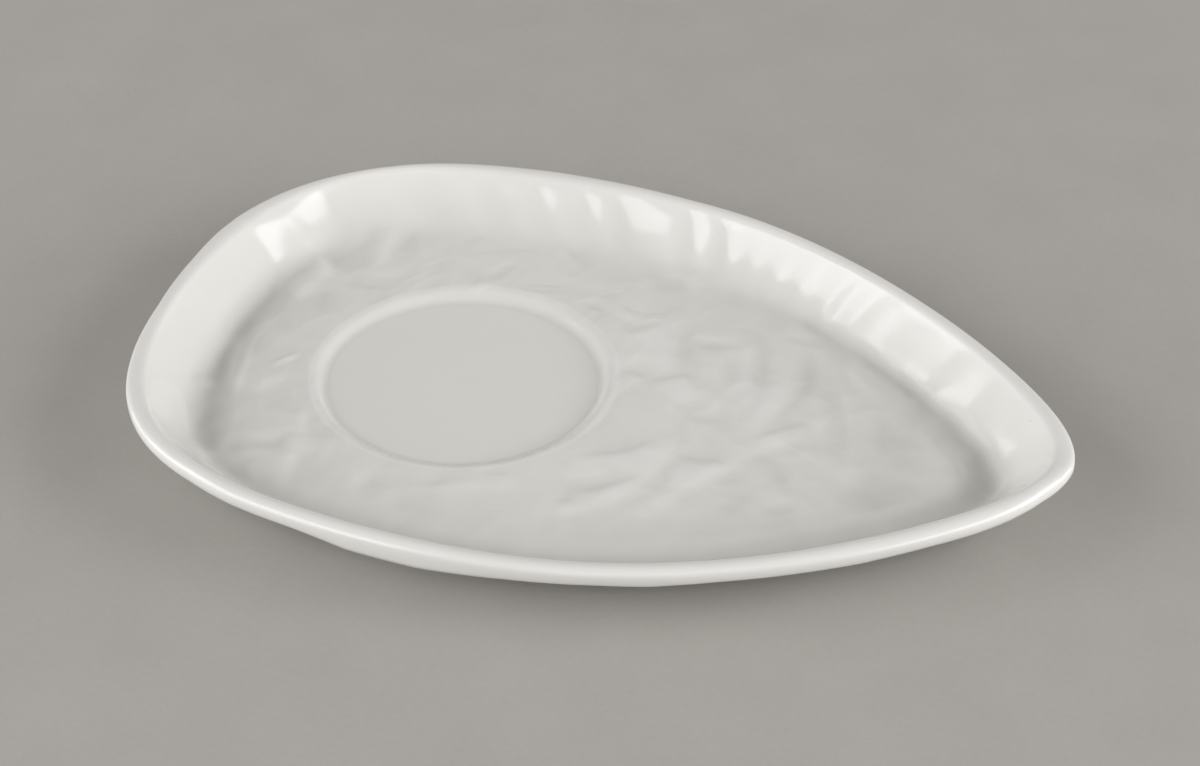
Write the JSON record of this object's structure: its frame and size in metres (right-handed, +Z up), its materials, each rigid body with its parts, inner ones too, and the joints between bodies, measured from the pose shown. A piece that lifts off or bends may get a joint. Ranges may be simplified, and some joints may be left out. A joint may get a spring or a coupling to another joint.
{
  "type": "saucer",
  "caption": "Drop-shaped white glazed porcelain saucer with a thick rounded lip, a fluted wall, a crumpled floor, a round cup well towards its blunt end and a bare foot ring.",
  "frame": {"origin": "middle of the saucer's length and width, on the table under it", "axes": "+X towards the pointed tip, +Y across, +Z up"},
  "size_m": [0.195, 0.134, 0.0158],
  "materials": {
    "glazed_porcelain": "clear gloss glaze over white porcelain",
    "bare_porcelain": "unglazed, polished smooth"
  },
  "bodies": {
    "root": {"tray": "glazed_porcelain", "foot_ring": "bare_porcelain"}
  },
  "joints": []
}
